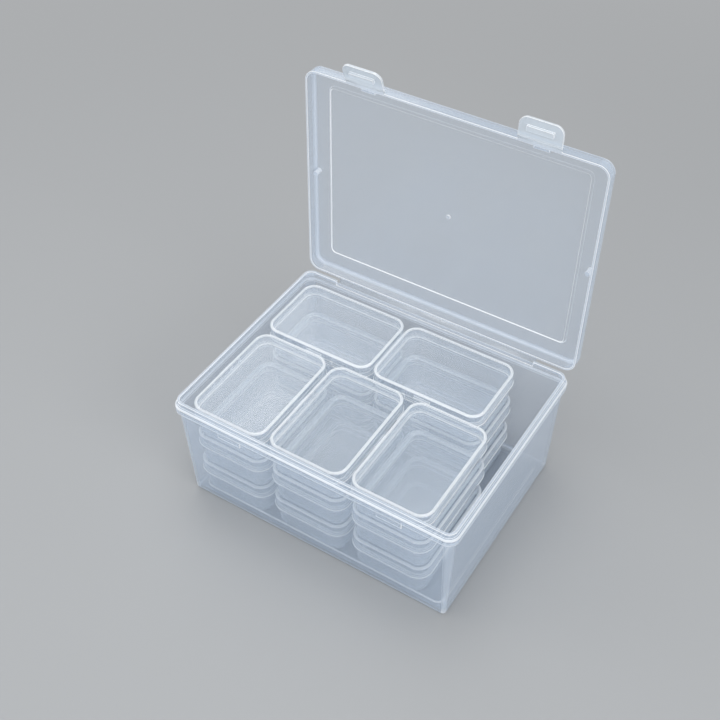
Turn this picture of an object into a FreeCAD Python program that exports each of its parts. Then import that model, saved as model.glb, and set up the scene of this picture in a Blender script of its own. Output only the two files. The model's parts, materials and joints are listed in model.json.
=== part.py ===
import FreeCAD, Part
import os

import Sketcher

# A clear storage case with a hinged lid and two flip latches, packed with small hinged boxes in stacks.
# Millimetres, +Z up, +Y to the hinge side. The origin is the middle of the case's base on the floor.

doc = FreeCAD.newDocument("storage_case")
sheet = doc.addObject("Spreadsheet::Sheet", "sizes")

SIZES = [
    # small box: tub
    ("box_length", 72.2),
    ("box_width", 49.8),
    ("box_tub_height", 15.8),
    ("box_wall", 1.0),
    ("box_draft", 1.1),
    ("box_corner", 9.0),
    ("box_base_round", 2.0),
    ("box_flange_height", 1.4),
    ("box_flange_round", 0.4),
    ("box_lip_height", 1.2),
    # small box: lid, hinge and clasp
    ("box_lid_height", 7.4),
    ("box_lid_wall", 0.9),
    ("box_lid_clearance", 0.35),
    ("box_lid_setback", 0.3),
    ("box_lid_draft", 0.3),
    ("box_lid_round", 1.0),
    ("box_recess_depth", 0.9),
    ("box_recess_clearance", 0.6),
    ("box_hinge_margin", 15.0),
    ("box_hinge_bead", 0.5),
    ("clasp_width", 10.0),
    ("clasp_height", 5.0),
    ("clasp_drop", 2.2),
    ("clasp_thickness", 0.7),
    ("clasp_gap", 0.3),
    ("clasp_rib_width", 1.6),
    ("clasp_rib_height", 3.2),
    ("clasp_rib_spacing", 24.0),
    # how the boxes are packed
    ("seat_gap", 0.3),
    ("side_clearance", 0.35),
    ("front_clearance", 0.35),
    ("left_stack_gap", 2.2),
    ("right_stack_gap", 2.8),
    ("back_stack_gap", 0.8),
    ("side_spare", 12.33),
    ("row_gap", 1.9),
    ("back_spare", 0.43),
    ("headroom", 4.0),
    # case tub
    ("case_wall", 1.5),
    ("case_draft", 3.2),
    ("case_corner", 7.0),
    ("case_base_round", 2.4),
    ("base_recess", 0.7),
    ("flange_height", 5.0),
    ("flange_round", 1.0),
    ("lip_height", 3.0),
    ("catch_width", 15.0),
    ("catch_height", 5.0),
    ("catch_stand", 0.5),
    # case lid
    ("lid_depth", 8.5),
    ("lid_wall", 1.2),
    ("lid_clearance", 0.4),
    ("lid_round", 2.0),
    ("panel_inset", 10.6),
    ("panel_rise", 0.6),
    ("panel_corner", 4.0),
    ("peg_diameter", 3.0),
    ("peg_inset", 3.7),
    ("stop_width", 9.2),
    ("stop_reach", 3.4),
    ("gate_diameter", 2.6),
    ("gate_height", 0.5),
    ("lid_open_angle", 92.0),
    # living hinge of the case lid
    ("hinge_margin", 23.0),
    ("hinge_reach", 1.6),
    ("hinge_root", 1.0),
    ("hinge_film", 0.5),
    ("hinge_gap", 0.2),
    # latches
    ("latch_width", 24.5),
    ("latch_length", 12.8),
    ("latch_thickness", 1.4),
    ("latch_corner", 5.0),
    ("latch_inset", 38.8),
    ("latch_standoff", 0.4),
    ("latch_film", 0.4),
    ("latch_root", 1.2),
    ("latch_hinge_gap", 0.35),
    ("left_latch_turn", 70.0),
    ("right_latch_turn", 90.0),
    ("bead_width", 15.0),
    ("bead_height", 2.9),
    ("bead_reach", 1.4),
]

for row, (alias, number) in enumerate(SIZES, start=1):
    sheet.set(f"A{row}", alias)
    sheet.set(f"B{row}", str(number))
    sheet.setAlias(f"B{row}", alias)
doc.recompute()


def size(expression):
    """The present value of an expression on the sheet's cells."""
    return float(sheet.evalExpression(expression))


def cell(alias):
    return f"sizes.{alias}"


# Sizes that follow from the sheet, written as expressions on its cells.
CLASP_STAND = "(sizes.clasp_gap + sizes.clasp_thickness)"
BOX_FLANGE_REACH = "(sizes.box_lid_setback + sizes.box_lid_wall + sizes.box_lid_clearance)"
BOX_HEIGHT = "(sizes.box_tub_height + sizes.seat_gap + sizes.box_lid_height)"
STACK_PITCH = f"({BOX_HEIGHT} - sizes.box_recess_depth + sizes.seat_gap)"
FLOOR_LEVEL = "(sizes.case_wall + sizes.base_recess)"
STACK_BASE = f"({FLOOR_LEVEL} + sizes.seat_gap)"
CASE_HEIGHT = f"({STACK_BASE} + 2 * {STACK_PITCH} + {BOX_HEIGHT} + sizes.headroom)"
CLASP_LEVEL = f"({STACK_BASE} + sizes.box_tub_height - sizes.clasp_drop)"
WALL_LEAN = f"(sizes.case_draft * {CLASP_LEVEL} / {CASE_HEIGHT})"
FRONT_ROW = (f"(sizes.side_clearance - {WALL_LEAN} + {CLASP_STAND} + 3 * sizes.box_width"
             " + sizes.left_stack_gap + sizes.right_stack_gap + sizes.side_spare)")
BACK_ROW = (f"(2 * sizes.side_clearance - 2 * {WALL_LEAN} + 2 * sizes.box_length"
            " + sizes.back_stack_gap)")
FLOOR_WIDTH = f"max({FRONT_ROW}; {BACK_ROW})"
FLOOR_DEPTH = (f"(sizes.front_clearance - {WALL_LEAN} + sizes.box_length + sizes.row_gap"
               " + sizes.box_width + sizes.back_spare)")
BASE_WIDTH = f"({FLOOR_WIDTH} + 2 * sizes.case_wall)"
BASE_DEPTH = f"({FLOOR_DEPTH} + 2 * sizes.case_wall)"
LIP_WIDTH = f"({BASE_WIDTH} + 2 * sizes.case_draft)"
LIP_DEPTH = f"({BASE_DEPTH} + 2 * sizes.case_draft)"
FLANGE_REACH = "(sizes.lid_wall + sizes.lid_clearance)"
CASE_WIDTH = f"({LIP_WIDTH} + 2 * {FLANGE_REACH})"
CASE_DEPTH = f"({LIP_DEPTH} + 2 * {FLANGE_REACH})"
FLANGE_TOP = f"({CASE_HEIGHT} - sizes.lip_height)"
FLANGE_BOTTOM = f"({FLANGE_TOP} - sizes.flange_height)"
LID_RIM = f"({FLANGE_TOP} + sizes.seat_gap)"
HINGE_Y = f"({CASE_DEPTH} / 2 + sizes.hinge_reach)"
HINGE_Z = f"({FLANGE_TOP} + sizes.seat_gap / 2)"
HINGE_LENGTH = f"({CASE_WIDTH} - 2 * sizes.hinge_margin)"
LATCH_X = f"({CASE_WIDTH} / 2 - sizes.latch_inset)"
LATCH_Y = f"(-{CASE_DEPTH} / 2 - sizes.latch_standoff - sizes.latch_thickness / 2)"
LATCH_Z = f"({LID_RIM} + sizes.latch_film / 2)"
SIDES = (("left", -1), ("right", 1))


def plane(body, role):
    """One of the body's own origin planes."""
    return next(feature for feature in body.Origin.OriginFeatures if feature.Role == role)


def level_sketch(body, name, height):
    """An empty sketch parallel to the floor at a height given as an expression."""
    sketch = body.newObject("Sketcher::SketchObject", name)
    sketch.AttachmentSupport = (plane(body, "XY_Plane"), [""])
    sketch.MapMode = "FlatFace"
    sketch.setExpression("AttachmentOffset.Base.z", height)
    return sketch


def add_rounded(sketch, name, width, depth, radius):
    """A rounded rectangle about the sketch's origin."""
    x, y, r = size(width) / 2, size(depth) / 2, size(radius)
    vector = FreeCAD.Vector
    ends = [(vector(r - x, -y), vector(x - r, -y)), (vector(x, r - y), vector(x, y - r)),
            (vector(x - r, y), vector(r - x, y)), (vector(-x, y - r), vector(-x, r - y))]
    centres = [vector(x - r, r - y), vector(x - r, y - r), vector(r - x, y - r), vector(r - x, r - y)]
    quarter = FreeCAD.Units.Quantity("90 deg").getValueAs("rad").Value
    first = sketch.GeometryCount
    lines = [Part.LineSegment(start, end) for start, end in ends]
    arcs = [Part.ArcOfCircle(Part.Circle(centre, vector(0, 0, 1), r), (turn - 1) * quarter, turn * quarter)
            for turn, centre in enumerate(centres)]
    sketch.addGeometry(lines + arcs)
    bottom, right, top, left = range(first, first + 4)
    corners = range(first + 4, first + 8)
    rules = []
    for side, corner, after in zip((bottom, right, top, left), corners, (right, top, left, bottom)):
        rules.append(Sketcher.Constraint("Tangent", side, 2, corner, 1))
        rules.append(Sketcher.Constraint("Tangent", corner, 2, after, 1))
    rules += [Sketcher.Constraint("Horizontal", bottom), Sketcher.Constraint("Horizontal", top)]
    rules += [Sketcher.Constraint("Vertical", left), Sketcher.Constraint("Vertical", right)]
    rules += [Sketcher.Constraint("Equal", corners[0], corner) for corner in corners[1:]]
    rules.append(Sketcher.Constraint("Symmetric", bottom, 1, top, 1, -1, 1))
    sketch.addConstraint(rules)
    measures = [(Sketcher.Constraint("DistanceX", left, 1, right, 1, 2 * x), "width", width),
                (Sketcher.Constraint("DistanceY", bottom, 1, top, 1, 2 * y), "depth", depth),
                (Sketcher.Constraint("Radius", corners[0], r), "radius", radius)]
    bind(sketch, name, measures)


def add_rectangle(sketch, name, left, right, near, far):
    """A plain rectangle between four signed places."""
    vector = FreeCAD.Vector
    x0, x1, y0, y1 = size(left), size(right), size(near), size(far)
    corners = [vector(x0, y0), vector(x1, y0), vector(x1, y1), vector(x0, y1)]
    first = sketch.GeometryCount
    sketch.addGeometry([Part.LineSegment(a, b) for a, b in zip(corners, corners[1:] + corners[:1])])
    bottom, side, top, back = range(first, first + 4)
    rules = [Sketcher.Constraint("Coincident", a, 2, b, 1)
             for a, b in ((bottom, side), (side, top), (top, back), (back, bottom))]
    rules += [Sketcher.Constraint("Horizontal", bottom), Sketcher.Constraint("Horizontal", top)]
    rules += [Sketcher.Constraint("Vertical", side), Sketcher.Constraint("Vertical", back)]
    sketch.addConstraint(rules)
    measures = [(Sketcher.Constraint("DistanceX", -1, 1, bottom, 1, x0), "left", left),
                (Sketcher.Constraint("DistanceX", -1, 1, side, 1, x1), "right", right),
                (Sketcher.Constraint("DistanceY", -1, 1, bottom, 1, y0), "near", near),
                (Sketcher.Constraint("DistanceY", -1, 1, top, 1, y1), "far", far)]
    bind(sketch, name, measures)


def add_circle(sketch, name, x, y, diameter):
    """A circle at a signed place."""
    centre = FreeCAD.Vector(size(x), size(y))
    ring = sketch.addGeometry(Part.Circle(centre, FreeCAD.Vector(0, 0, 1), size(diameter) / 2))
    measures = [(Sketcher.Constraint("DistanceX", -1, 1, ring, 3, size(x)), "x", x),
                (Sketcher.Constraint("DistanceY", -1, 1, ring, 3, size(y)), "y", y),
                (Sketcher.Constraint("Diameter", ring, size(diameter)), "diameter", diameter)]
    bind(sketch, name, measures)


def bind(sketch, name, measures):
    """Add dimensions to a sketch and tie each to its expression."""
    for rule, word, expression in measures:
        index = sketch.addConstraint(rule)
        label = f"{name}_{word}"
        sketch.renameConstraint(index, label)
        sketch.setExpression(f"Constraints.{label}", expression)


def extrude(body, kind, sketch, length, downward=False):
    """Pad or Pocket a sketch by a length given as an expression."""
    feature = body.newObject(f"PartDesign::{kind}", f"{sketch.Name}_{kind.lower()}")
    feature.Profile = sketch
    feature.Reversed = downward
    feature.setExpression("Length", length)
    return feature


LEVEL = FreeCAD.Base.Precision.approximation()


def outline_at(body, height):
    """Names of the edges round the outside of the largest level face at a height."""
    shape = body.Tip.Shape
    level_faces = [face for face in shape.Faces
                   if face.BoundBox.ZLength < LEVEL and abs(face.BoundBox.ZMin - size(height)) < LEVEL]
    outline = max(level_faces, key=lambda face: face.BoundBox.DiagonalLength).OuterWire.Edges
    return [f"Edge{index}" for index, edge in enumerate(shape.Edges, start=1)
            if any(edge.isSame(other) for other in outline)]


# an outline is a width, a depth and a corner radius, which a wall makes smaller by two, two and one thickness
WALLS_ACROSS = (2, 2, 1)
# the most of a corner's radius that the rounding of the edge below it takes up
ROUND_SHARE = 0.85


def hollow_shell(body, closed, opened, closed_outline, open_outline, wall, rounding):
    """A drafted shell between two levels, with rounded edges at its closed end and the other end open."""
    rise = f"abs({opened} - {closed})"
    floor = f"({closed} + {wall} * ({opened} - {closed}) / {rise})"
    inner_closed = [f"({shut} + ({wide} - {shut}) * {wall} / {rise} - {walls} * {wall})"
                    for shut, wide, walls in zip(closed_outline, open_outline, WALLS_ACROSS)]
    inner_open = [f"({wide} - {walls} * {wall})" for wide, walls in zip(open_outline, WALLS_ACROSS)]
    loft_between(body, "Additive", (closed, closed_outline), (opened, open_outline))
    round_edges(body, "outer_rounding", outline_at(body, closed),
                f"min({rounding}; {ROUND_SHARE} * {closed_outline[2]})")
    loft_between(body, "Subtractive", (floor, inner_closed), (opened, inner_open))
    round_edges(body, "inner_rounding", outline_at(body, floor),
                f"min(max({rounding} - {wall}; {wall} / 3); {ROUND_SHARE} * {inner_closed[2]})")


def loft_between(body, kind, *sections):
    """A ruled loft, from the top down, through rounded rectangles given as levels and outlines."""
    sketches = []
    for level, outline in sorted(sections, key=lambda section: size(section[0]), reverse=True):
        sketch = level_sketch(body, f"{body.Name}_{kind.lower()}_outline", level)
        add_rounded(sketch, "outline", *outline)
        sketches.append(sketch)
    loft = body.newObject(f"PartDesign::{kind}Loft", f"{body.Name}_{kind.lower()}_loft")
    loft.Profile = sketches[0]
    loft.Sections = sketches[1:]
    loft.Ruled = True
    doc.recompute()


def round_edges(body, name, edges, radius):
    """Round edges of the body's last feature by a radius given as an expression."""
    base = body.Tip
    rounding = body.newObject("PartDesign::Fillet", f"{body.Name}_{name}")
    rounding.Base = (base, edges)
    rounding.setExpression("Radius", radius)
    doc.recompute()


def make_tub(name, top_width, top_depth, height, corner, draft, wall, base_round, flange_top, flange_height,
             flange_reach, flange_round):
    """A drafted open tub whose wall runs up past a rim flange as a lip."""
    body = doc.addObject("PartDesign::Body", name)
    wall_corner = f"({corner} - {flange_reach})"
    base = (f"({top_width} - 2 * {draft})", f"({top_depth} - 2 * {draft})", f"({wall_corner} - {draft})")
    hollow_shell(body, "0", height, base, (top_width, top_depth, wall_corner), wall, base_round)
    flange_bottom = f"({flange_top} - {flange_height})"
    root = f"({draft} * ({height} - {flange_bottom}) / {height} + {wall} / 2)"
    ring = level_sketch(body, f"{name}_flange", flange_bottom)
    add_rounded(ring, "outer", f"({top_width} + 2 * {flange_reach})", f"({top_depth} + 2 * {flange_reach})",
                corner)
    add_rounded(ring, "inner", f"({top_width} - 2 * {root})", f"({top_depth} - 2 * {root})",
                f"({corner} - {flange_reach} - {wall} / 2)")
    extrude(body, "Pad", ring, flange_height)
    doc.recompute()
    round_edges(body, "flange_rounding", outline_at(body, flange_bottom) + outline_at(body, flange_top),
                f"min({flange_round}; {ROUND_SHARE} * {flange_reach})")
    return body


def make_case_tub():
    body = make_tub("case_tub", LIP_WIDTH, LIP_DEPTH, CASE_HEIGHT, cell("case_corner"), cell("case_draft"),
                    cell("case_wall"), cell("case_base_round"), FLANGE_TOP, cell("flange_height"),
                    FLANGE_REACH, cell("flange_round"))
    # the floor steps up, so that the base fits over the raised panel of a case below
    recess_width = f"({CASE_WIDTH} - 2 * sizes.panel_inset + 2 * sizes.seat_gap)"
    recess_depth = f"({CASE_DEPTH} - 2 * sizes.panel_inset + 2 * sizes.seat_gap)"
    step = level_sketch(body, "floor_step", cell("case_wall"))
    add_rounded(step, "step", f"({recess_width} + 2 * sizes.case_wall)",
                f"({recess_depth} + 2 * sizes.case_wall)", "(sizes.panel_corner + sizes.case_wall)")
    extrude(body, "Pad", step, cell("base_recess"))
    recess = level_sketch(body, "base_recess_outline", "0")
    add_rounded(recess, "recess", recess_width, recess_depth, cell("panel_corner"))
    extrude(body, "Pocket", recess, cell("base_recess"), downward=True)
    # the lip stops short where the hinge film leaves the back rim
    notch = level_sketch(body, "hinge_notch", CASE_HEIGHT)
    add_rectangle(notch, "notch", f"(-{HINGE_LENGTH} / 2)", f"({HINGE_LENGTH} / 2)",
                  f"({LIP_DEPTH} / 2 - 2 * sizes.case_wall)", f"({CASE_DEPTH} / 2)")
    extrude(body, "Pocket", notch, cell("lip_height"))
    # pads under the front flange that the latches' hooks snap over
    wall_face = (f"(-{LIP_DEPTH} / 2 + sizes.case_draft * (sizes.lip_height + sizes.flange_height)"
                 f" / {CASE_HEIGHT})")
    catches = level_sketch(body, "catches", FLANGE_BOTTOM)
    for side, sign in SIDES:
        add_rectangle(catches, side, f"({sign} * {LATCH_X} - sizes.catch_width / 2)",
                      f"({sign} * {LATCH_X} + sizes.catch_width / 2)",
                      f"({wall_face} - sizes.catch_stand)", f"({wall_face} + sizes.case_wall / 2)")
    extrude(body, "Pad", catches, cell("catch_height"), downward=True)
    return body


def make_case_lid():
    """The lid as it lies closed on the tub."""
    body = doc.addObject("PartDesign::Body", "case_lid")
    top = f"({LID_RIM} + sizes.lid_depth)"
    outline = (CASE_WIDTH, CASE_DEPTH, cell("case_corner"))
    hollow_shell(body, top, LID_RIM, outline, outline, cell("lid_wall"), cell("lid_round"))
    # raised middle panel, stepped on both faces
    panel_width = f"({CASE_WIDTH} - 2 * sizes.panel_inset)"
    panel_depth = f"({CASE_DEPTH} - 2 * sizes.panel_inset)"
    panel = level_sketch(body, "lid_panel", top)
    add_rounded(panel, "panel", panel_width, panel_depth, cell("panel_corner"))
    extrude(body, "Pad", panel, cell("panel_rise"))
    ceiling = f"({top} - sizes.lid_wall)"
    hollow = level_sketch(body, "lid_panel_hollow", ceiling)
    add_rounded(hollow, "hollow", f"({panel_width} - 2 * sizes.lid_wall)",
                f"({panel_depth} - 2 * sizes.lid_wall)", "(sizes.panel_corner - sizes.lid_wall)")
    extrude(body, "Pocket", hollow, cell("panel_rise"), downward=True)
    # gate mark in the middle of the inside
    gate = level_sketch(body, "gate_mark", f"({ceiling} + sizes.panel_rise)")
    add_circle(gate, "gate", "0", "0", cell("gate_diameter"))
    extrude(body, "Pad", gate, cell("gate_height"), downward=True)
    # stops over the tub's lip: a peg at each side and a block behind each latch
    stop_length = f"({ceiling} - {CASE_HEIGHT} - sizes.seat_gap)"
    pegs = level_sketch(body, "pegs", ceiling)
    blocks = level_sketch(body, "stop_blocks", ceiling)
    for side, sign in SIDES:
        add_circle(pegs, side, f"({sign} * ({CASE_WIDTH} / 2 - sizes.peg_inset))", "0", cell("peg_diameter"))
        add_rectangle(blocks, side, f"({sign} * {LATCH_X} - sizes.stop_width / 2)",
                      f"({sign} * {LATCH_X} + sizes.stop_width / 2)",
                      f"(-{CASE_DEPTH} / 2 + sizes.lid_wall / 2)",
                      f"(-{CASE_DEPTH} / 2 + sizes.lid_wall + sizes.stop_reach)")
    extrude(body, "Pad", pegs, stop_length, downward=True)
    extrude(body, "Pad", blocks, stop_length, downward=True)
    # ledges that carry the latches' hinge films
    ledges = level_sketch(body, "latch_ledges", LID_RIM)
    for side, sign in SIDES:
        add_rectangle(ledges, side, f"({sign} * {LATCH_X} - sizes.latch_width / 2)",
                      f"({sign} * {LATCH_X} + sizes.latch_width / 2)",
                      f"({LATCH_Y} + sizes.latch_hinge_gap)", f"(-{CASE_DEPTH} / 2 + sizes.lid_wall / 2)")
    extrude(body, "Pad", ledges, cell("latch_film"))
    return body


def make_hinge_flap(name, root_levels, bend_levels):
    """Half of the hinge film, closed: it thins from its root on the rim to the bend line."""
    flap = doc.addObject("Part::Wedge", name)
    measures = {"Ymin": f"{CASE_DEPTH} / 2", "Ymax": f"{HINGE_Y} - sizes.hinge_gap",
                "Zmin": root_levels[0], "Zmax": root_levels[1],
                "Z2min": bend_levels[0], "Z2max": bend_levels[1]}
    for end in ("X", "X2"):
        measures[f"{end}min"] = f"-{HINGE_LENGTH} / 2"
        measures[f"{end}max"] = f"{HINGE_LENGTH} / 2"
    for measure, expression in measures.items():
        flap.setExpression(measure, expression)
    return flap


def make_latch(name):
    """A latch as it is locked: the plate hangs from the hinge film, with the hinge axis at the origin."""
    body = doc.addObject("PartDesign::Body", name)
    front = body.newObject("Sketcher::SketchObject", f"{name}_outline")
    front.AttachmentSupport = (plane(body, "XZ_Plane"), [""])
    front.MapMode = "FlatFace"
    front.setExpression("AttachmentOffset.Base.z", "-sizes.latch_thickness / 2")
    half = "(sizes.latch_width / 2)"
    add_rectangle(front, "plate", f"(-{half})", half, "(-sizes.latch_length)", "(-sizes.latch_root)")
    plate = extrude(body, "Pad", front, cell("latch_thickness"))
    doc.recompute()
    tip = size("-sizes.latch_length")
    corners = [f"Edge{index}" for index, edge in enumerate(plate.Shape.Edges, start=1)
               if edge.BoundBox.XLength < LEVEL and edge.BoundBox.ZLength < LEVEL
               and abs(edge.BoundBox.ZMin - tip) < LEVEL]
    round_edges(body, "corners", corners, cell("latch_corner"))
    film = level_sketch(body, f"{name}_film", "(-sizes.latch_root)")
    add_rectangle(film, "film", f"(-{half})", half, "(-sizes.latch_film / 2)", "(sizes.latch_film / 2)")
    extrude(body, "Pad", film, "sizes.latch_root - sizes.latch_hinge_gap")
    # hook bar that reaches under the tub's flange
    bead_top = f"({FLANGE_BOTTOM} - sizes.seat_gap - {LATCH_Z})"
    bead = level_sketch(body, f"{name}_bead", bead_top)
    add_rectangle(bead, "bead", "(-sizes.bead_width / 2)", "(sizes.bead_width / 2)", "0",
                  "(sizes.latch_thickness / 2 + sizes.bead_reach)")
    extrude(body, "Pad", bead, cell("bead_height"), downward=True)
    return body


def make_box_tub():
    wall_top = "(sizes.box_tub_height + sizes.box_lip_height)"
    lip_length = f"(sizes.box_length - 2 * {BOX_FLANGE_REACH})"
    lip_width = f"(sizes.box_width - 2 * {BOX_FLANGE_REACH})"
    return make_tub("box_tub", lip_length, lip_width, wall_top, cell("box_corner"), cell("box_draft"),
                    cell("box_wall"), cell("box_base_round"), cell("box_tub_height"),
                    cell("box_flange_height"), BOX_FLANGE_REACH, cell("box_flange_round"))


def make_box_lid():
    """A small lid as it lies closed, its clasp at the front and its hinge bead at the back."""
    body = doc.addObject("PartDesign::Body", "box_lid")
    rim_level = "(sizes.box_tub_height + sizes.seat_gap)"
    length = "(sizes.box_length - 2 * sizes.box_lid_setback)"
    width = "(sizes.box_width - 2 * sizes.box_lid_setback)"
    corner = "(sizes.box_corner - sizes.box_lid_setback)"
    crown = [f"({rim} - {walls} * sizes.box_lid_draft)"
             for rim, walls in zip((length, width, corner), WALLS_ACROSS)]
    hollow_shell(body, BOX_HEIGHT, rim_level, crown, (length, width, corner), cell("box_lid_wall"),
                 cell("box_lid_round"))
    # recess that takes the base of the box above, stepped on both faces
    inset = f"({BOX_FLANGE_REACH} + sizes.box_draft - sizes.box_recess_clearance)"
    recess_corner = f"(sizes.box_corner - {inset})"
    ceiling = f"({BOX_HEIGHT} - sizes.box_lid_wall)"
    step = level_sketch(body, "box_lid_step", ceiling)
    add_rounded(step, "step", f"(sizes.box_length - 2 * {inset} + 2 * sizes.box_lid_wall)",
                f"(sizes.box_width - 2 * {inset} + 2 * sizes.box_lid_wall)",
                f"({recess_corner} + sizes.box_lid_wall)")
    extrude(body, "Pad", step, cell("box_recess_depth"), downward=True)
    recess = level_sketch(body, "box_lid_recess", BOX_HEIGHT)
    add_rounded(recess, "recess", f"(sizes.box_length - 2 * {inset})", f"(sizes.box_width - 2 * {inset})",
                recess_corner)
    extrude(body, "Pocket", recess, cell("box_recess_depth"))
    # clasp: a tab that hangs over the flange, between two finger ribs
    face = "(-sizes.box_width / 2)"
    skirt_root = f"({face} + sizes.box_lid_setback + sizes.box_lid_draft + sizes.box_lid_wall / 2)"
    tab = level_sketch(body, "clasp_tab", rim_level)
    add_rectangle(tab, "tab", "(-sizes.clasp_width / 2)", "(sizes.clasp_width / 2)",
                  f"({face} - {CLASP_STAND})", skirt_root)
    extrude(body, "Pad", tab, cell("clasp_height"))
    tongue = level_sketch(body, "clasp_tongue", f"({rim_level} - sizes.seat_gap - sizes.clasp_drop)")
    add_rectangle(tongue, "tongue", "(-sizes.clasp_width / 2)", "(sizes.clasp_width / 2)",
                  f"({face} - {CLASP_STAND})", f"({face} - sizes.clasp_gap)")
    extrude(body, "Pad", tongue, "sizes.seat_gap + sizes.clasp_drop")
    ribs = level_sketch(body, "clasp_ribs", rim_level)
    for side, sign in SIDES:
        place = f"({sign} * sizes.clasp_rib_spacing / 2)"
        add_rectangle(ribs, side, f"({place} - sizes.clasp_rib_width / 2)",
                      f"({place} + sizes.clasp_rib_width / 2)", f"({face} - sizes.clasp_gap)", skirt_root)
    extrude(body, "Pad", ribs, cell("clasp_rib_height"))
    # hinge bead along the back of the skirt
    bead = level_sketch(body, "box_hinge_bead", rim_level)
    add_rectangle(bead, "bead", "(sizes.box_hinge_margin - sizes.box_length / 2)",
                  "(sizes.box_length / 2 - sizes.box_hinge_margin)",
                  "(sizes.box_width / 2 - sizes.box_lid_setback - sizes.box_lid_wall / 2)",
                  "(sizes.box_width / 2)")
    extrude(body, "Pad", bead, cell("box_hinge_bead"))
    return body


def turned(angle, *places):
    """A placement, as an expression, that brings a piece to a place and opens it about an axis along X."""
    place = "; ".join(places)
    return f"placement(vector({place}); rotation(vector(-1; 0; 0); {angle}))"


case_tub = make_case_tub()
case_lid = make_case_lid()
flange_flat = f"({FLANGE_TOP} - sizes.flange_round)"
tub_flap = make_hinge_flap("lid_hinge_tub_flap", (f"{flange_flat} - sizes.hinge_root", flange_flat),
                           (f"{FLANGE_TOP} - sizes.hinge_film", FLANGE_TOP))
lid_flap = make_hinge_flap("lid_hinge_lid_flap", (LID_RIM, f"{LID_RIM} + sizes.hinge_root"),
                           (LID_RIM, f"{LID_RIM} + sizes.hinge_film"))
latches = {side: make_latch(f"{side}_latch") for side, sign in SIDES}
box_tub = make_box_tub()
box_lid = make_box_lid()

# the lid and what it carries stand open
to_hinge = turned(cell("lid_open_angle"), "0", HINGE_Y, HINGE_Z)
lid_open = f"{to_hinge} * {turned('0', '0', f'-{HINGE_Y}', f'-{HINGE_Z}')}"
case_lid.setExpression("Placement", lid_open)
lid_flap.setExpression("Placement", lid_open)
for side, sign in SIDES:
    latch_place = turned(cell(f"{side}_latch_turn"), f"{sign} * {LATCH_X}", LATCH_Y, LATCH_Z)
    latches[side].setExpression("Placement", f"{lid_open} * {latch_place}")

# where each stack stands: its middle, and a turn that brings its clasp to the front or to the left
LEFT_WALL = f"(-{FLOOR_WIDTH} / 2 - {WALL_LEAN} + sizes.side_clearance)"
LEFT_EDGE = f"({LEFT_WALL} + {CLASP_STAND})"
SECOND_EDGE = f"({LEFT_EDGE} + sizes.box_width + sizes.left_stack_gap)"
THIRD_EDGE = f"({SECOND_EDGE} + sizes.box_width + sizes.right_stack_gap)"
BACK_SECOND_EDGE = f"({LEFT_WALL} + sizes.box_length + sizes.back_stack_gap)"
FRONT_EDGE = f"(-{FLOOR_DEPTH} / 2 - {WALL_LEAN} + sizes.front_clearance)"
FRONT_MIDDLE = f"({FRONT_EDGE} + sizes.box_length / 2)"
BACK_MIDDLE = f"({FRONT_EDGE} + sizes.box_length + sizes.row_gap + sizes.box_width / 2)"
CLASP_LEFT = -90
CLASP_FRONT = 0
STACKS = {
    "front_left": (f"{LEFT_EDGE} + sizes.box_width / 2", FRONT_MIDDLE, CLASP_LEFT),
    "front_middle": (f"{SECOND_EDGE} + sizes.box_width / 2", FRONT_MIDDLE, CLASP_LEFT),
    "front_right": (f"{THIRD_EDGE} + sizes.box_width / 2", FRONT_MIDDLE, CLASP_LEFT),
    "back_left": (f"{LEFT_WALL} + sizes.box_length / 2", BACK_MIDDLE, CLASP_FRONT),
    "back_right": (f"{BACK_SECOND_EDGE} + sizes.box_length / 2", BACK_MIDDLE, CLASP_FRONT),
}

parts = [case_tub, case_lid, tub_flap, lid_flap, *latches.values()]
for stack, (x, y, turn) in STACKS.items():
    for level, layer in enumerate(("lower", "middle", "upper")):
        for pattern, word in ((box_tub, "tub"), (box_lid, "lid")):
            copy = doc.addObject("App::Link", f"{stack}_{layer}_{word}")
            copy.LinkedObject = pattern
            copy.Placement.Rotation = FreeCAD.Rotation(FreeCAD.Vector(0, 0, 1), turn)
            copy.setExpression("Placement.Base.x", x)
            copy.setExpression("Placement.Base.y", y)
            copy.setExpression("Placement.Base.z", f"{STACK_BASE} + {level} * {STACK_PITCH}")
            parts.append(copy)

doc.recompute()
failed = [item.Label for item in doc.Objects if "Invalid" in item.State or "Error" in item.State]
if failed:
    raise RuntimeError(f"these objects failed: {failed}")
shapes = {part.Label: Part.getShape(part) for part in parts}
for label, shape in shapes.items():
    if shape.isNull() or not shape.isValid() or len(shape.Solids) != 1:
        raise RuntimeError(f"{label} is not one valid solid")

os.makedirs("parts", exist_ok=True)
for label, shape in shapes.items():
    shape.exportStep(f"parts/{label}.step")
print(len(shapes), "parts; case width", round(size(CASE_WIDTH), 2), "height", round(size(CASE_HEIGHT), 2))
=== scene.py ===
import json
import math

import bmesh
import bpy
from mathutils import Matrix, Vector


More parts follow.
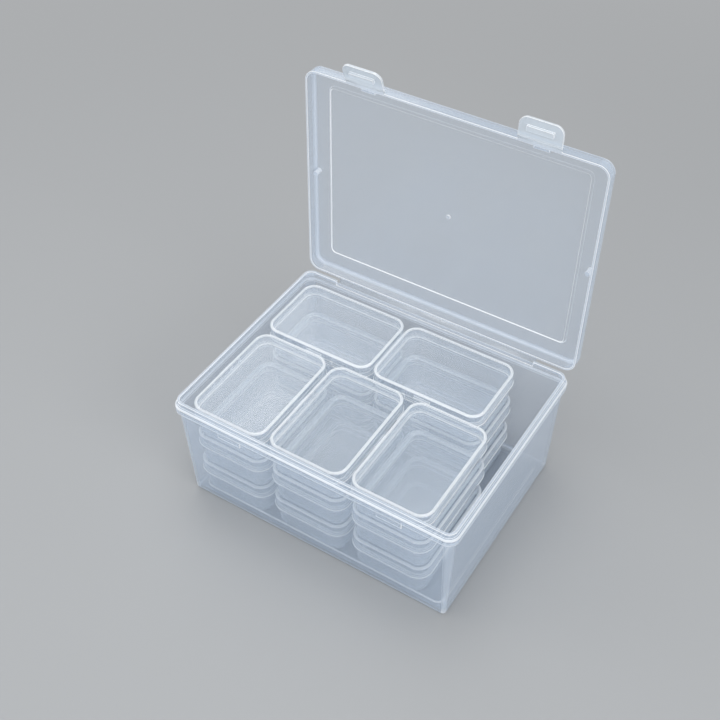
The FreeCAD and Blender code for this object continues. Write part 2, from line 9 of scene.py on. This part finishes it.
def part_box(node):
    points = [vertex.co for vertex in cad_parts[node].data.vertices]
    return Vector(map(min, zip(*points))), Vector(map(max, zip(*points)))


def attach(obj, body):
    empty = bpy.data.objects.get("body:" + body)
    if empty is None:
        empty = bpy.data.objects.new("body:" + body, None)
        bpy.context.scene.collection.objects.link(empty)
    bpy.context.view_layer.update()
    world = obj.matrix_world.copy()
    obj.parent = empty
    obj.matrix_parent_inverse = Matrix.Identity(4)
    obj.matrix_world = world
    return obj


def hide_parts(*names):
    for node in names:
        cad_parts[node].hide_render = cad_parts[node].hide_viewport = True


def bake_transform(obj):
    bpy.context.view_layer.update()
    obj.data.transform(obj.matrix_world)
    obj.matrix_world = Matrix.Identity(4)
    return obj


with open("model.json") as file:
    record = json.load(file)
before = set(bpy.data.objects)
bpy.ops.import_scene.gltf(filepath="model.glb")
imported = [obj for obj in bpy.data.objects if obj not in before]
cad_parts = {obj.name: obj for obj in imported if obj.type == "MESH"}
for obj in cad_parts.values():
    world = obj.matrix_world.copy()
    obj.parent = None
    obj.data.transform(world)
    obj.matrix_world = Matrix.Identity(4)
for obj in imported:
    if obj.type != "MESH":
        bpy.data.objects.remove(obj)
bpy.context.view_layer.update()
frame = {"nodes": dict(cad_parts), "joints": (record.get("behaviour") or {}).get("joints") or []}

MM = 0.001
STACKS = ("front_left", "front_middle", "front_right", "back_left", "back_right")
LAYERS = ("lower", "middle", "upper")
LATCH_SIDES = ("left", "right")


# Node expressions
class Value:
    """A node's socket that takes part in Python expressions, each of which adds its Math node."""

    def __init__(self, nodes, socket):
        self.nodes = nodes
        self.socket = socket

    def _maths(self, operation, first, second):
        return self.nodes.node("ShaderNodeMath", {"operation": operation}, {0: first, 1: second})

    def __add__(self, other):
        return self._maths("ADD", self, other)

    def __radd__(self, other):
        return self._maths("ADD", other, self)

    def __sub__(self, other):
        return self._maths("SUBTRACT", self, other)

    def __rsub__(self, other):
        return self._maths("SUBTRACT", other, self)

    def __mul__(self, other):
        return self._maths("MULTIPLY", self, other)

    def __rmul__(self, other):
        return self._maths("MULTIPLY", other, self)


class Nodes:
    """A node tree and the one way to add a node to it."""

    def __init__(self, tree):
        self.tree = tree
        tree.nodes.clear()

    def node(self, kind, settings=None, inputs=None, output=0):
        """Add a node of a kind, with its settings and the values or links of its sockets."""
        made = self.tree.nodes.new(kind)
        for name, setting in (settings or {}).items():
            setattr(made, name, setting)
        for key, value in (inputs or {}).items():
            if isinstance(value, Value):
                self.tree.links.new(value.socket, made.inputs[key])
            else:
                made.inputs[key].default_value = value
        return Value(self, made.outputs[output]) if made.outputs else None


def new_material(name):
    material = bpy.data.materials.new(name)
    material.use_nodes = True
    return material, Nodes(material.node_tree)


def smooth_step(shader, value, start, full):
    """A mask that rises smoothly from 0 at the start to 1 where it is full."""
    return shader.node("ShaderNodeMapRange", {"interpolation_type": "SMOOTHSTEP"},
                       {"Value": value, "From Min": start, "From Max": full})


def mixed_shader(shader, share, first, second):
    """Close a material with two shaders, the second one by its share."""
    surface = shader.node("ShaderNodeMixShader", inputs={0: share, 1: first, 2: second})
    shader.node("ShaderNodeOutputMaterial", inputs={"Surface": surface})


# Clear plastic
EDGE_HIGHLIGHT_MARK = "edge"
# Near-white colour of the marked edges: a painted highlight for the light that clear plastic edges
# gather.
PAINTED_EDGE_HIGHLIGHT = (0.98, 0.99, 1.0, 1.0)
GLOSS_COLOUR = (1.0, 1.0, 1.0, 1.0)
MIX_COLOUR_A, MIX_COLOUR_B, MIX_COLOUR_RESULT = 6, 7, 2
FLOW_DETAIL = 3.0
CLOUD_LEAST, CLOUD_SPREAD, CLOUD_DULLING = 0.8, 0.4, 0.06
SCUFF_TURN, SCUFF_SCALE = (0.4, 0.3, 0.7), (420.0, 26.0, 26.0)
SCUFF_START, SCUFF_FULL = 0.66, 0.80
SCUFF_HAZE, SCUFF_DULLING = 0.02, 0.10
RIPPLE_SCALE, RIPPLE_DETAIL = 30.0, 1.0
RIPPLE_STRENGTH, RIPPLE_DEPTH = 0.05, 0.0004
SLANT_BLEND, SLANT_HAZE = 0.5, 0.40
MILK_ROUGHNESS = 0.6
HEAD_ON_GLOSS = 0.04


def clear_plastic(name, haze, haze_colour, edge_highlight_opacity, roughness, cloud_scale):
    """Natural polypropylene: blue-white haze, a painted white highlight on the edges, gloss, flow
    clouds, scuffs.
    """
    material, shader = new_material(name)
    place = shader.node("ShaderNodeTexCoord", output="Object")
    edge = shader.node("ShaderNodeAttribute", {"attribute_name": EDGE_HIGHLIGHT_MARK}, output="Fac")
    cloud = shader.node("ShaderNodeTexNoise", inputs={
        "Vector": place, "Scale": cloud_scale, "Detail": FLOW_DETAIL})
    drawn_out = shader.node("ShaderNodeMapping", inputs={
        "Vector": place, "Rotation": SCUFF_TURN, "Scale": SCUFF_SCALE})
    streak = shader.node("ShaderNodeTexNoise", inputs={
        "Vector": drawn_out, "Scale": 1.0, "Detail": FLOW_DETAIL})
    scuff = smooth_step(shader, streak, SCUFF_START, SCUFF_FULL)
    ripple = shader.node("ShaderNodeTexNoise", inputs={
        "Vector": place, "Scale": RIPPLE_SCALE, "Detail": RIPPLE_DETAIL})
    relief = shader.node("ShaderNodeBump", inputs={
        "Strength": RIPPLE_STRENGTH, "Distance": RIPPLE_DEPTH, "Height": ripple})
    slant = shader.node("ShaderNodeLayerWeight", inputs={"Blend": SLANT_BLEND}, output="Facing")
    slant_squared = slant * slant
    clouded = haze * (CLOUD_LEAST + CLOUD_SPREAD * cloud)
    body_haze = clouded + SCUFF_HAZE * scuff + SLANT_HAZE * (slant_squared * slant)
    # The marked edges turn opaque and near-white here: a painted highlight.
    opacity = body_haze + edge * (edge_highlight_opacity - body_haze)
    colour = shader.node(
        "ShaderNodeMix", {"data_type": "RGBA"},
        {"Factor": edge, MIX_COLOUR_A: (*haze_colour, 1.0), MIX_COLOUR_B: PAINTED_EDGE_HIGHLIGHT},
        output=MIX_COLOUR_RESULT)
    milk = shader.node("ShaderNodeBsdfPrincipled", inputs={
        "Base Color": colour, "Roughness": MILK_ROUGHNESS, "Specular IOR Level": 0.0,
        "Alpha": opacity, "Normal": relief})
    shine = shader.node("ShaderNodeBsdfPrincipled", inputs={
        "Base Color": GLOSS_COLOUR, "Metallic": 1.0, "Normal": relief,
        "Roughness": roughness + CLOUD_DULLING * cloud + SCUFF_DULLING * scuff})
    slant_to_fifth = slant_squared * slant_squared * slant
    reflected = HEAD_ON_GLOSS + (1.0 - HEAD_ON_GLOSS) * slant_to_fifth
    mixed_shader(shader, reflected, milk, shine)
    return material


CASE_PLASTIC = clear_plastic(
    "case_plastic", haze=0.14, haze_colour=(0.64, 0.77, 0.94), edge_highlight_opacity=0.94,
    roughness=0.18, cloud_scale=38.0)
LATCH_PLASTIC = clear_plastic(
    "latch_plastic", haze=0.42, haze_colour=(0.78, 0.87, 0.96), edge_highlight_opacity=0.92,
    roughness=0.16, cloud_scale=90.0)
BOX_PLASTIC = clear_plastic(
    "box_plastic", haze=0.09, haze_colour=(0.74, 0.84, 0.95), edge_highlight_opacity=0.92,
    roughness=0.17, cloud_scale=60.0)


# Blanks and pieces
def new_object(name, data):
    made = bpy.data.objects.new(name, data)
    bpy.context.scene.collection.objects.link(made)
    return made


def finished_mesh(blank):
    """A blank's mesh with its modifiers applied. The blank itself is used up."""
    evaluated = blank.evaluated_get(bpy.context.evaluated_depsgraph_get())
    mesh = bpy.data.meshes.new_from_object(evaluated)
    bpy.data.objects.remove(blank)
    return mesh


def new_piece(name, mesh):
    """A piece at the origin, with its place in its mesh."""
    mesh.name = name
    return new_object(name, mesh)


# Moulded pieces
SMALLEST = 2e-6
SAME_SIZE = 0.2 * MM
FLAT_ANGLE = math.radians(0.6)
SHARP_ANGLE = math.radians(28.0)
# How sharply a face must bend before it gets the painted edge highlight.
EDGE_START, EDGE_SPREAD = 60.0, 650.0
HOLLOW_SHARE = 0.3
LONG_LINE = 40.0 * MM
ROUNDING_STEPS = 2
FLAT_WALL_WEIGHT = 100
CASE_ROUNDING = 0.2 * MM
CASE_LID_FINE_SHARE = 0.3
LATCH_ROUNDING = 0.16 * MM
BOX_ROUNDINGS = {"tub": 0.28 * MM, "lid": 0.15 * MM}
PATTERN_BOX = "front_left_lower"


def merged_copy(node):
    """A CAD node's mesh as whole flat faces with shared corners."""
    shell = bmesh.new()
    shell.from_mesh(frame["nodes"][node].data)
    bmesh.ops.remove_doubles(shell, verts=shell.verts, dist=SMALLEST)
    bmesh.ops.dissolve_limit(shell, angle_limit=FLAT_ANGLE, verts=shell.verts, edges=shell.edges)
    return shell


def weigh_sharp_lines(shell, fine_share):
    """Give each sharp line its share of the rounding: all of it, or less round small features."""
    weight = shell.edges.layers.float.new("bevel_weight_edge")
    waiting = {edge for edge in shell.edges if edge.calc_face_angle(0.0) > SHARP_ANGLE}
    while waiting:
        line = []
        reached = [waiting.pop()]
        while reached:
            edge = reached.pop()
            line.append(edge)
            nearby = {other for vertex in edge.verts for other in vertex.link_edges} & waiting
            waiting -= nearby
            reached.extend(nearby)
        share = 1.0 if sum(edge.calc_length() for edge in line) > LONG_LINE else fine_share
        for edge in line:
            edge[weight] = share


def mark_edges(mesh):
    """Store on each face how strongly it bends, which is where the plastic gets its painted white
    highlight.
    """
    shell = bmesh.new()
    shell.from_mesh(mesh)
    marks = []
    for face in shell.faces:
        bend = 0.0
        for edge in face.edges:
            angle = edge.calc_face_angle_signed(0.0)
            bend += edge.calc_length() / 2 * (angle if angle > 0.0 else -HOLLOW_SHARE * angle)
        sharpness = bend / max(face.calc_area(), SMALLEST ** 2)
        marks.append(1.0 - math.exp(min(EDGE_START - sharpness, 0.0) / EDGE_SPREAD))
    shell.free()
    mesh.attributes.new(EDGE_HIGHLIGHT_MARK, "FLOAT", "FACE").data.foreach_set("value", marks)


def moulded_mesh(node, rounding, fine_share=1.0):
    """A copy of a CAD node's mesh with its sharp edges rounded and marked for the painted edge
    highlight.
    """
    shell = merged_copy(node)
    weigh_sharp_lines(shell, fine_share)
    mesh = bpy.data.meshes.new("blank")
    shell.to_mesh(mesh)
    shell.free()
    for face in mesh.polygons:
        face.use_smooth = True
    blank = new_object("blank", mesh)
    bevel = blank.modifiers.new("rounding", "BEVEL")
    bevel.width = rounding
    bevel.segments = ROUNDING_STEPS
    bevel.limit_method = "WEIGHT"
    bevel.use_clamp_overlap = False
    flat_walls = blank.modifiers.new("flat_walls", "WEIGHTED_NORMAL")
    flat_walls.mode = "FACE_AREA"
    flat_walls.weight = FLAT_WALL_WEIGHT
    finished = finished_mesh(blank)
    mark_edges(finished)
    return finished


def placed_copy(mesh, pattern_node, node):
    """A pattern's mesh at another node of its form, turned a quarter where that lies across."""
    low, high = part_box(pattern_node)
    node_low, node_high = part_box(node)
    same_way = abs((high - low).x - (node_high - node_low).x) < SAME_SIZE
    moved = mesh.copy()
    if not same_way:
        moved.transform(Matrix.Rotation(math.pi / 2, 4, "Z"))
    corner = Vector([min(vertex.co[axis] for vertex in moved.vertices) for axis in range(3)])
    moved.transform(Matrix.Translation(node_low - corner))
    return moved


def add_moulding(node, mesh, plastic, body):
    """A moulding that stands for a CAD node and moves with its body."""
    mesh.materials.append(plastic)
    piece = new_piece(f"{node}_moulding", mesh)
    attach(piece, body)
    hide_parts(node)


def add_case():
    tub = moulded_mesh("case_tub", CASE_ROUNDING)
    add_moulding("case_tub", tub, CASE_PLASTIC, "case")
    lid = moulded_mesh("case_lid", CASE_ROUNDING, CASE_LID_FINE_SHARE)
    add_moulding("case_lid", lid, CASE_PLASTIC, "lid")
    for side in LATCH_SIDES:
        latch = moulded_mesh(f"{side}_latch", LATCH_ROUNDING)
        add_moulding(f"{side}_latch", latch, LATCH_PLASTIC, f"{side}_latch_flap")


def add_small_boxes():
    """Every small box from one moulded tub and one moulded lid."""
    patterns = {half: moulded_mesh(f"{PATTERN_BOX}_{half}", rounding)
                for half, rounding in BOX_ROUNDINGS.items()}
    for stack in STACKS:
        for layer in LAYERS:
            name = f"{stack}_{layer}"
            for half, pattern in patterns.items():
                opens = half == "lid" and layer == "upper"
                body = f"{name}_lid_flap" if opens else f"{name}_box"
                mesh = placed_copy(pattern, f"{PATTERN_BOX}_{half}", f"{name}_{half}")
                add_moulding(f"{name}_{half}", mesh, BOX_PLASTIC, body)


add_case()
add_small_boxes()


# Hinge films
ALONG_X = Vector((1.0, 0.0, 0.0))
ALONG_Y = Vector((0.0, 1.0, 0.0))
UPWARD = Vector((0.0, 0.0, 1.0))
HINGE_AXES = {joint["name"]: Vector(joint["pos_m"])
              for joint in frame["joints"] if joint["type"] == "hinge"}
FILM_STEPS = 10
LID_OPEN = math.radians(92.0)
LID_FILM = 0.6 * MM
# Across and up from the lid's hinge axis, in millimetres
LID_FILM_START, LID_FILM_BEND, LID_FILM_END = (-1.7, -1.65), (0.1, 0.0), (0.72, 1.68)
LATCH_TURNS = {"left": math.radians(70.0), "right": math.radians(90.0)}
LATCH_FILM = 0.4 * MM
# From a latch's hinge axis to either rim, in millimetres
LATCH_FILM_REACH = 0.6
BOX_LIP = 1.2 * MM
BOX_SEAT = 0.3 * MM
BOX_HINGE = 42.2 * MM
BOX_FILM = 0.3 * MM
BOX_FILM_INSET, BOX_FILM_BULGE, BOX_FILM_RISE = 0.15 * MM, 0.25 * MM, 0.75 * MM


def film_tree():
    """Geometry nodes for a strip that follows a bend from one rim to another."""
    tree = bpy.data.node_groups.new("hinge_film", "GeometryNodeTree")
    nodes = Nodes(tree)
    for name in ("Start", "Bend", "End", "Along"):
        tree.interface.new_socket(name, in_out="INPUT", socket_type="NodeSocketVector")
    tree.interface.new_socket("Length", in_out="INPUT", socket_type="NodeSocketFloat")
    tree.interface.new_socket("Plastic", in_out="INPUT", socket_type="NodeSocketMaterial")
    tree.interface.new_socket("Film", in_out="OUTPUT", socket_type="NodeSocketGeometry")

    def given(name):
        return nodes.node("NodeGroupInput", output=name)

    bend = nodes.node("GeometryNodeCurveQuadraticBezier", inputs={
        "Resolution": FILM_STEPS,
        "Start": given("Start"), "Middle": given("Bend"), "End": given("End")})
    level = nodes.node("GeometryNodeSetCurveNormal", {"mode": "FREE"},
                       {"Curve": bend, "Normal": given("Along")})
    half = 0.5 * given("Length")
    low = nodes.node("ShaderNodeCombineXYZ", inputs={"X": -1.0 * half})
    high = nodes.node("ShaderNodeCombineXYZ", inputs={"X": half})
    across = nodes.node("GeometryNodeCurvePrimitiveLine", inputs={"Start": low, "End": high})
    strip = nodes.node("GeometryNodeCurveToMesh", inputs={"Curve": level, "Profile Curve": across})
    whole = nodes.node("GeometryNodeRealizeInstances", inputs={"Geometry": strip})
    film = nodes.node("GeometryNodeSetMaterial", inputs={
        "Geometry": whole, "Material": given("Plastic")})
    nodes.node("NodeGroupOutput", inputs={"Film": film})
    return tree


FILM_TREE = film_tree()


def film_mesh(start, bend, end, along, length, thickness, plastic):
    """A hinge film between two rims, of an even thickness."""
    blank = new_object("blank", bpy.data.meshes.new("blank"))
    strip = blank.modifiers.new("strip", "NODES")
    strip.node_group = FILM_TREE
    given = {"Start": start, "Bend": bend, "End": end,
             "Along": along, "Length": length, "Plastic": plastic}
    for socket in FILM_TREE.interface.items_tree:
        if socket.in_out == "INPUT":
            strip[socket.identifier] = given[socket.name]
    wall = blank.modifiers.new("wall", "SOLIDIFY")
    wall.thickness = thickness
    wall.offset = 0.0
    return finished_mesh(blank)


def outward(sideways, rise):
    """A step across the case and upwards, in millimetres."""
    return Vector((0.0, sideways * MM, rise * MM))


def add_lid_film():
    axis = HINGE_AXES["case_lid_hinge"]
    low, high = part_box("lid_hinge_tub_flap")
    start = axis + outward(*LID_FILM_START)
    bend = axis + outward(*LID_FILM_BEND)
    end = axis + outward(*LID_FILM_END)
    mesh = film_mesh(start, bend, end, ALONG_X, high.x - low.x, LID_FILM, CASE_PLASTIC)
    piece = new_piece("lid_hinge_film", mesh)
    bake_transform(piece)
    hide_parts("lid_hinge_tub_flap", "lid_hinge_lid_flap")


def add_latch_film(side):
    axis = HINGE_AXES[f"{side}_latch_hinge"]
    low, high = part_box(f"{side}_latch")
    hang = LID_OPEN + LATCH_TURNS[side]
    start = axis + LATCH_FILM_REACH * outward(math.cos(LID_OPEN), -math.sin(LID_OPEN))
    end = axis + LATCH_FILM_REACH * outward(-math.sin(hang), -math.cos(hang))
    mesh = film_mesh(start, axis, end, ALONG_X, high.x - low.x, LATCH_FILM, LATCH_PLASTIC)
    piece = new_piece(f"{side}_latch_film", mesh)
    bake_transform(piece)


def add_box_film(stack, layer):
    """The film at a small box's hinge side, which is its right or its rear."""
    name = f"{stack}_{layer}"
    out, along = (ALONG_X, ALONG_Y) if stack.startswith("front") else (ALONG_Y, ALONG_X)
    low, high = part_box(f"{name}_tub")
    line = (low + high) / 2
    line.z = high.z - BOX_LIP + BOX_SEAT / 2
    line += (high - line).dot(out) * out
    start = line - BOX_FILM_INSET * out - BOX_FILM_RISE * UPWARD
    bend = line + BOX_FILM_BULGE * out
    end = line - BOX_FILM_INSET * out + BOX_FILM_RISE * UPWARD
    mesh = film_mesh(start, bend, end, along, BOX_HINGE, BOX_FILM, BOX_PLASTIC)
    piece = new_piece(f"{name}_hinge_film", mesh)
    if layer == "upper":
        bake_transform(piece)
    else:
        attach(piece, f"{name}_box")


add_lid_film()
for side in LATCH_SIDES:
    add_latch_film(side)
for stack in STACKS:
    for layer in LAYERS:
        add_box_film(stack, layer)


# Floor, light and camera
PALE_GREY = (0.42, 0.43, 0.44, 1.0)
FLOOR_REACH = 4.0
FLOOR_LEVEL = -0.0003
FLOOR_ROUGHNESS, FLOOR_GLOSS = 0.5, 0.3
GRAIN_SCALE, GRAIN_ROUGHNESS = 900.0, 0.1
BACKDROP_START, BACKDROP_FULL = 0.22, 0.85
SOFTBOXES = {
    "top_softbox": {"place": (-0.1, 0.1, 1.1), "aim": 0.08, "size": (0.8, 0.8), "power": 4.6},
    "right_softbox": {"place": (1.0, -0.35, 0.55), "aim": 0.08, "size": (0.7, 0.7), "power": 5.0},
    "front_softbox": {"place": (-0.15, -0.95, 0.3), "aim": 0.04, "size": (0.9, 0.4), "power": 2.6},
    "left_softbox": {"place": (-1.0, -0.5, 0.5), "aim": 0.08, "size": (0.6, 0.8), "power": 2.0},
    "back_softbox": {"place": (-0.85, 0.8, 1.0), "aim": 0.1, "size": (0.9, 0.6), "power": 2.4},
}
PHOTO_EYE = Vector((0.23332, -0.37256, 0.53171))
PHOTO_RIGHT = Vector((0.84427039, 0.53583296, -0.00951532))
PHOTO_UP = Vector((-0.37083266, 0.59692617, 0.71145083))
PHOTO_BACK = Vector((0.38689875, -0.59712828, 0.70267146))
PHOTO_LENS, PHOTO_SENSOR = 56.73, 36.0
NEAREST_SEEN = 0.01
MOST_WALLS_SEEN_THROUGH = 96


def studio_floor():
    """A pale floor that goes over into an even backdrop away from the case."""
    mesh = bpy.data.meshes.new("floor")
    corners = [(x * FLOOR_REACH, y * FLOOR_REACH, FLOOR_LEVEL)
               for x, y in ((-1, -1), (1, -1), (1, 1), (-1, 1))]
    mesh.from_pydata(corners, [], [(0, 1, 2, 3)])
    material, shader = new_material("floor_paint")
    place = shader.node("ShaderNodeTexCoord", output="Object")
    grain = shader.node("ShaderNodeTexNoise", inputs={"Vector": place, "Scale": GRAIN_SCALE})
    paint = shader.node("ShaderNodeBsdfPrincipled", inputs={
        "Base Color": PALE_GREY, "Roughness": FLOOR_ROUGHNESS + GRAIN_ROUGHNESS * grain,
        "Specular IOR Level": FLOOR_GLOSS})
    distance = shader.node("ShaderNodeVectorMath", {"operation": "LENGTH"}, {0: place},
                           output="Value")
    away = smooth_step(shader, distance, BACKDROP_START, BACKDROP_FULL)
    backdrop = shader.node("ShaderNodeEmission", inputs={"Color": PALE_GREY})
    mixed_shader(shader, away, paint, backdrop)
    mesh.materials.append(material)
    new_object("floor", mesh)


def studio_world():
    world = bpy.data.worlds.new("studio")
    world.use_nodes = True
    background = world.node_tree.nodes["Background"]
    background.inputs["Color"].default_value = PALE_GREY
    background.inputs["Strength"].default_value = 1.0
    bpy.context.scene.world = world


def add_softbox(name, place, aim, size, power):
    """A rectangular lamp that points at a height over the middle of the case."""
    lamp = bpy.data.lights.new(name, "AREA")
    lamp.shape = "RECTANGLE"
    lamp.size, lamp.size_y = size
    lamp.energy = power
    stand = new_object(name, lamp)
    stand.location = place
    ray = aim * UPWARD - Vector(place)
    stand.rotation_euler = ray.to_track_quat("-Z", "Y").to_euler()


def photo_camera():
    """The camera that was fitted to the photo's straight edges."""
    lens = bpy.data.cameras.new("camera")
    lens.sensor_width = PHOTO_SENSOR
    lens.lens = PHOTO_LENS
    lens.clip_start = NEAREST_SEEN
    camera = new_object("camera", lens)
    turn = Matrix((PHOTO_RIGHT, PHOTO_UP, PHOTO_BACK)).transposed().to_4x4()
    camera.matrix_world = Matrix.Translation(PHOTO_EYE) @ turn
    bpy.context.scene.camera = camera


studio_floor()
studio_world()
for name, softbox in SOFTBOXES.items():
    add_softbox(name, **softbox)
photo_camera()
bpy.context.scene.view_settings.view_transform = "Standard"
bpy.context.scene.cycles.transparent_max_bounces = MOST_WALLS_SEEN_THROUGH
